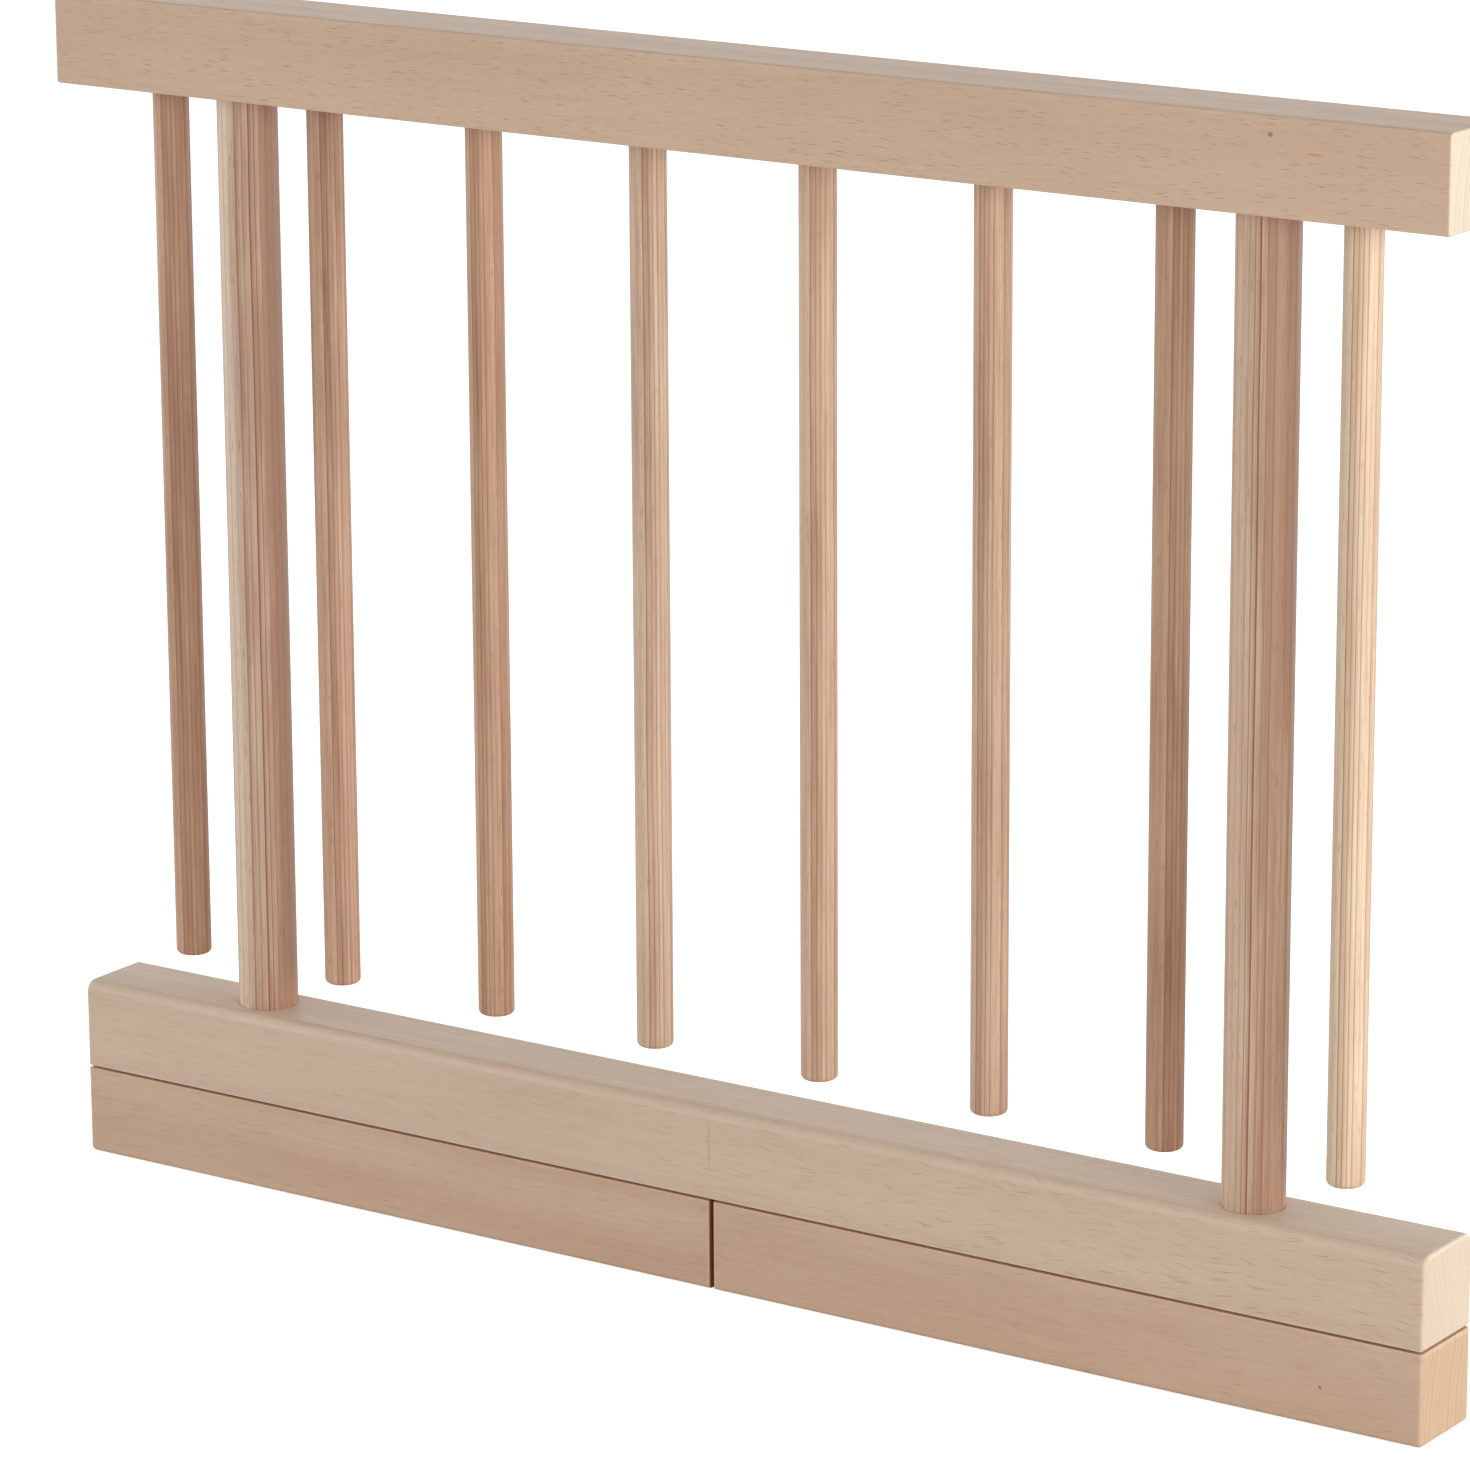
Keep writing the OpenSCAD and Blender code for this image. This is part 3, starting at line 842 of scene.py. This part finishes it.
def metal(name, bright, dull, polish, cloud_size):
    """A metal finish, with its tone, roughness and fine turning marks."""
    material = bpy.data.materials.new(name)
    material.use_nodes = True
    tree = material.node_tree
    shader = tree.nodes["Principled BSDF"]
    shader.inputs["Metallic"].default_value = 1
    place = vector(tree, "SCALE", tree.nodes.new("ShaderNodeTexCoord").outputs["Object"], 1 / MM)
    surface = place_group(
        tree, "surface", metal_surface,
        Place=place, Bright=bright, Dull=dull, Polish=polish, Cloud_Size=cloud_size,
    )
    put(tree, shader.inputs["Base Color"], surface.outputs["Colour"])
    put(tree, shader.inputs["Roughness"], surface.outputs["Roughness"])
    bump = tree.nodes.new("ShaderNodeBump")
    bump.inputs["Strength"].default_value = 0.25
    bump.inputs["Distance"].default_value = 0.03 * MM
    put(tree, bump.inputs["Height"], surface.outputs["Height"])
    put(tree, shader.inputs["Normal"], bump.outputs["Normal"])
    return material


def thread(pitch, depth, low_z, high_z, steps):
    """A carve for turned(): a V thread that runs out at both ends of its stretch."""
    def carve(step, radius, z):
        turn = z / pitch - step / steps
        v_shape = abs(2 * (turn - math.floor(turn)) - 1)
        run_out = min(1, max(0, (z - low_z) / pitch), max(0, (high_z - z) / pitch))
        return depth * v_shape * run_out
    return carve


zinc = metal("zinc_plate", srgb(206, 208, 210), srgb(176, 179, 180), 0.22, 5.0)
for side in SIDES:
    node = f"pivot_bolt_{side}"
    low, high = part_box(node)
    x = axis_x(node)
    head_r = (high.y - low.y) / 2
    head_top = low.z + HEAD_H
    rows = round(THREAD_L / THREAD_PITCH) * ROWS_A_TURN
    thread_low = high.z - THREAD_L
    cut_thread = thread(THREAD_PITCH, THREAD_DEPTH, thread_low, high.z, 2 * KNURLS)

    def carve(step, radius, z):
        """Knurling round the head, and the thread on the shank."""
        if z > head_top:
            return cut_thread(step, radius, z)
        knurled = low.z + KNURL_MARGIN / 2 < z < head_top - KNURL_MARGIN / 2 and radius > BOLT_R
        return KNURL_DEPTH * (step % 2) if knurled else 0

    outline = [
        (0, low.z),
        (head_r - HEAD_CHAMFER, low.z),
        (head_r, low.z + HEAD_CHAMFER),
        (head_r, low.z + KNURL_MARGIN),
        (head_r, head_top - KNURL_MARGIN),
        (head_r, head_top - HEAD_CHAMFER / 2),
        (head_r - HEAD_CHAMFER / 2, head_top),
        (BOLT_R + HEAD_CHAMFER / 2, head_top),
        (BOLT_R, head_top + HEAD_CHAMFER / 2),
    ]
    outline += [(BOLT_R, thread_low + THREAD_L * row / rows) for row in range(rows)]
    outline += [(BOLT_R - THREAD_DEPTH, high.z), (0, high.z)]
    piece = turned(f"{node}_steel", outline, x, steps=2 * KNURLS, carve=carve)
    key_r = KEY_AF / 2 / math.cos(math.radians(30))
    key = turned("key", [
        (0, low.z + KEY_DEPTH + KEY_AF / 4),
        (key_r, low.z + KEY_DEPTH),
        (key_r, low.z - MM),
        (0, low.z - MM),
    ], x, steps=6)
    cut(piece, [key])
    finish_piece(piece, zinc, "gate_frame", "zinc_steel", node)

# ---------------------------------------------------------------------------
# Washers
# Over each bolt's head lie a split spring washer and a flat washer, zinc
# plated like the bolt, that press the foot up against its slip disc.
# ---------------------------------------------------------------------------
WASHER_EDGE = 0.3 * MM
SPLIT_WIDTH = math.radians(9)
SPLIT_SLANT = math.radians(8)
SPLIT_AT = {"left": math.radians(200), "right": math.radians(-20)}


def ring_outline(bore_r, rim_r, low_z, high_z, edge):
    """The outline of a flat ring with chamfered edges."""
    return [
        (bore_r, low_z + edge),
        (bore_r + edge, low_z),
        (rim_r - edge, low_z),
        (rim_r, low_z + edge),
        (rim_r, high_z - edge),
        (rim_r - edge, high_z),
        (bore_r + edge, high_z),
        (bore_r, high_z - edge),
    ]


for side in SIDES:
    low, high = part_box(f"bolt_washer_{side}")
    x = axis_x(f"bolt_washer_{side}")
    outline = ring_outline(BOLT_BORE_R, (high.y - low.y) / 2, low.z, high.z, WASHER_EDGE)
    flat = turned(f"bolt_washer_{side}_steel", outline, x)
    finish_piece(flat, zinc, "gate_frame", "zinc_steel", f"bolt_washer_{side}")

    low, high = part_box(f"spring_washer_{side}")
    outline = ring_outline(BOLT_BORE_R, (high.y - low.y) / 2, low.z, high.z, WASHER_EDGE)
    shape = bmesh.new()
    rings = []
    for step in range(TURN_STEPS + 1):
        ring = []
        for radius, z in outline:
            slant = SPLIT_SLANT * (z - low.z) / (high.z - low.z)
            swept = (2 * math.pi - SPLIT_WIDTH) * step / TURN_STEPS
            angle = SPLIT_AT[side] + slant + SPLIT_WIDTH + swept
            point = (x + radius * math.cos(angle), radius * math.sin(angle), z)
            ring.append(shape.verts.new(point))
        rings.append(ring)
    join_rings(shape, rings)
    shape.faces.new(rings[0])
    shape.faces.new(rings[-1])
    spring = link(f"spring_washer_{side}_steel", shape)
    finish_piece(spring, zinc, "gate_frame", "zinc_steel", f"spring_washer_{side}")

# ---------------------------------------------------------------------------
# Slip discs
# Thin discs of red-brown vulcanised fibre, stamped with holes for the bolt
# and the stop pin. A foot turns against its disc, which makes the seam.
# ---------------------------------------------------------------------------
DISC_EDGE = 0.08 * MM
fibre = bpy.data.materials.new("vulcanised_fibre")
fibre.use_nodes = True
tree = fibre.node_tree
shader = tree.nodes["Principled BSDF"]
spot = tree.nodes.new("ShaderNodeTexCoord")
place = vector(tree, "SCALE", spot.outputs["Object"], 1 / MM)
felted = noise(tree, place, (0.9, 2.6, 5), 4.0).outputs["Fac"]
fibre_colour = mixed(tree, ease(tree, felted, 0.3, 0.7), srgb(128, 74, 52), srgb(92, 50, 36))
put(tree, shader.inputs["Base Color"], fibre_colour)
put(tree, shader.inputs["Roughness"], calc(tree, "MULTIPLY_ADD", felted, 0.3, 0.5))
felt_bump = tree.nodes.new("ShaderNodeBump")
felt_bump.inputs["Strength"].default_value = 0.4
felt_bump.inputs["Distance"].default_value = 0.05 * MM
put(tree, felt_bump.inputs["Height"], felted)
put(tree, shader.inputs["Normal"], felt_bump.outputs["Normal"])
for side in SIDES:
    node = f"slip_disc_{side}"
    low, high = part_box(node)
    outline = ring_outline(BOLT_BORE_R, (high.y - low.y) / 2, low.z, high.z, DISC_EDGE)
    disc = turned(f"{node}_fibre", outline, axis_x(node))
    pin_low, pin_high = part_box(f"stop_pin_{side}")
    pin_middle = (pin_low + pin_high) / 2
    hole_r = (pin_high.y - pin_low.y) / 2 + GLUE_GAP
    pin_hole = turned("pin_hole", [
        (0, low.z - MM),
        (hole_r, low.z - MM),
        (hole_r, high.z + MM),
        (0, high.z + MM),
    ], pin_middle.x, pin_middle.y)
    cut(disc, [pin_hole])
    finish_piece(disc, fibre, "gate_frame", "fibre", node)

# ---------------------------------------------------------------------------
# Stop pins
# Short steel dowel pins, driven into the base bar from below. Each runs in
# its foot's groove, and stops the foot in line with the bar or across it.
# ---------------------------------------------------------------------------
PIN_EDGE = 0.7 * MM
for side in SIDES:
    node = f"stop_pin_{side}"
    low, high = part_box(node)
    centre, radius = (low + high) / 2, (high.y - low.y) / 2
    pin = turned(f"{node}_steel", [
        (0, low.z),
        (radius - PIN_EDGE, low.z),
        (radius - PIN_EDGE / 4, low.z + PIN_EDGE / 3),
        (radius, low.z + PIN_EDGE),
        (radius, high.z - PIN_EDGE),
        (radius - PIN_EDGE / 4, high.z - PIN_EDGE / 3),
        (radius - PIN_EDGE, high.z),
        (0, high.z),
    ], centre.x, centre.y)
    finish_piece(pin, zinc, "gate_frame", "zinc_steel", node)

# ---------------------------------------------------------------------------
# Post inserts
# Turned brass sleeves with a coarse wood thread outside, screwed into the
# posts' lower ends. The bolts screw into them.
# ---------------------------------------------------------------------------
INSERT_PITCH = 2.25 * MM
INSERT_THREAD_DEPTH = 0.7 * MM
INSERT_EDGE = 0.4 * MM
INSERT_BORE_R = 4.02 * MM
brass = metal("turned_brass", srgb(214, 182, 112), srgb(184, 148, 82), 0.26, 6.0)
for side in SIDES:
    node = f"post_insert_{side}"
    low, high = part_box(node)
    rim = (high.y - low.y) / 2
    rows = round((high.z - low.z) / INSERT_PITCH) * 2 * ROWS_A_TURN
    thread_low, thread_high = low.z + INSERT_EDGE, high.z - INSERT_EDGE
    outline = [(INSERT_BORE_R, thread_high), (INSERT_BORE_R, thread_low)]
    outline += [(INSERT_BORE_R + INSERT_EDGE, low.z), (rim - INSERT_EDGE, low.z)]
    for row in range(rows + 1):
        outline.append((rim, thread_low + (thread_high - thread_low) * row / rows))
    outline += [(rim - INSERT_EDGE, high.z), (INSERT_BORE_R + INSERT_EDGE, high.z)]
    cut_thread = thread(INSERT_PITCH, INSERT_THREAD_DEPTH, thread_low, thread_high, TURN_STEPS)

    def carve(step, radius, z):
        """The wood thread, on the outside only."""
        return cut_thread(step, radius, z) if radius == rim else 0

    sleeve = turned(f"{node}_brass", outline, axis_x(node), carve=carve)
    finish_piece(sleeve, brass, "gate_frame", "brass", node)

# ---------------------------------------------------------------------------
# Studio
# A plain pale floor in a white room that is dim overhead, one soft lamp off
# the gate's right-hand end, and two weaker ones, at its left end and behind.
# ---------------------------------------------------------------------------
FLOOR_HALF = 30
FLOOR_DROP = 0.1 * MM
SIDE_LIGHT = 1.25
OVERHEAD_LIGHT = 0.3
shape = bmesh.new()
corners = []
for x, y in ((-1, -1), (1, -1), (1, 1), (-1, 1)):
    corners.append(shape.verts.new((x * FLOOR_HALF, y * FLOOR_HALF, -FLOOR_DROP)))
shape.faces.new(corners)
floor = link("floor", shape)
floor_paint = bpy.data.materials.new("pale_floor")
floor_paint.use_nodes = True
tree = floor_paint.node_tree
shader = tree.nodes["Principled BSDF"]
shader.inputs["Base Color"].default_value = (0.86, 0.86, 0.86, 1)
shader.inputs["Roughness"].default_value = 0.9
shader.inputs["Specular IOR Level"].default_value = 0.1
shader.inputs["Emission Color"].default_value = (1, 1, 1, 1)
light_path = tree.nodes.new("ShaderNodeLightPath")
glow = calc(tree, "MULTIPLY", light_path.outputs["Is Camera Ray"], 0.7)
put(tree, shader.inputs["Emission Strength"], glow)
floor.data.materials.append(floor_paint)

room = bpy.data.worlds.new("studio")
bpy.context.scene.world = room
room.use_nodes = True
tree = room.node_tree
wall = tree.nodes["Background"]
wall.inputs["Color"].default_value = (1, 1, 1, 1)
height = axes(tree, tree.nodes.new("ShaderNodeTexCoord").outputs["Generated"])[2]
put(tree, wall.inputs["Strength"], ease(tree, height, 0.15, 0.8, SIDE_LIGHT, OVERHEAD_LIGHT))


def lamp(name, place, size, power):
    """A square soft white lamp that faces the gate's middle."""
    light = bpy.data.lights.new(name, "AREA")
    light.size = size
    light.energy = power
    piece = bpy.data.objects.new(name, light)
    piece.location = place
    piece.rotation_euler = (Vector(place) - middle).to_track_quat("Z", "Y").to_euler()
    bpy.context.scene.collection.objects.link(piece)


lamp("end_lamp", (2.4, -0.45, 0.42), size=1.2, power=33)
lamp("left_lamp", (-2.6, -0.5, 0.8), size=1.6, power=16)
lamp("back_lamp", (1.2, 2.3, 0.8), size=1.6, power=15)
